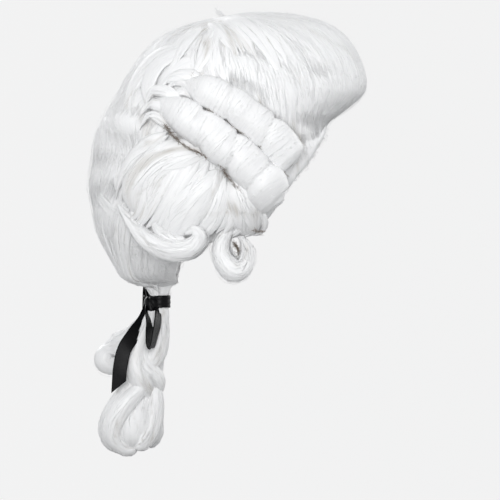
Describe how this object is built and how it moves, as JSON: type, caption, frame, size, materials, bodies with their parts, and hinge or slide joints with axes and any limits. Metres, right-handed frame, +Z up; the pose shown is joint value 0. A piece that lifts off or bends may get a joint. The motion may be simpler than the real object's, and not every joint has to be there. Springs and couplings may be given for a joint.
{
  "type": "powdered wig",
  "caption": "Powdered wig with a high swept-back front, two rolls over each ear, curled side hair and a curled queue tied at the nape with a ribbon bow.",
  "frame": {"origin": "where the top of the head seats, on the inside of the cap", "axes": "+Z up, the wearer faces -Y, and the wearer's right side is -X"},
  "size_m": [0.2316, 0.2901, 0.4685],
  "materials": {
    "white_hair": "glossy white synthetic hair fibre",
    "cap_net": "matt tan wig net",
    "black_ribbon": "black satin ribbon"
  },
  "bodies": {
    "root": {"wig_cap": "cap_net", "crown_hair": "white_hair", "upper_roll_left": "white_hair", "upper_roll_right": "white_hair", "lower_roll_left": "white_hair", "lower_roll_right": "white_hair", "front_puff_left": "white_hair", "front_puff_right": "white_hair", "middle_wave_left": "white_hair", "middle_wave_right": "white_hair", "rear_wave_left": "white_hair", "rear_wave_right": "white_hair", "ear_ringlet_left": "white_hair", "ear_ringlet_right": "white_hair", "rear_curl_left": "white_hair", "rear_curl_right": "white_hair", "queue": "white_hair", "ribbon_band": "black_ribbon", "ribbon_knot": "black_ribbon", "bow_loop_left": "black_ribbon", "bow_loop_right": "black_ribbon", "ribbon_tail_left": "black_ribbon", "ribbon_tail_right": "black_ribbon"}
  },
  "joints": []
}
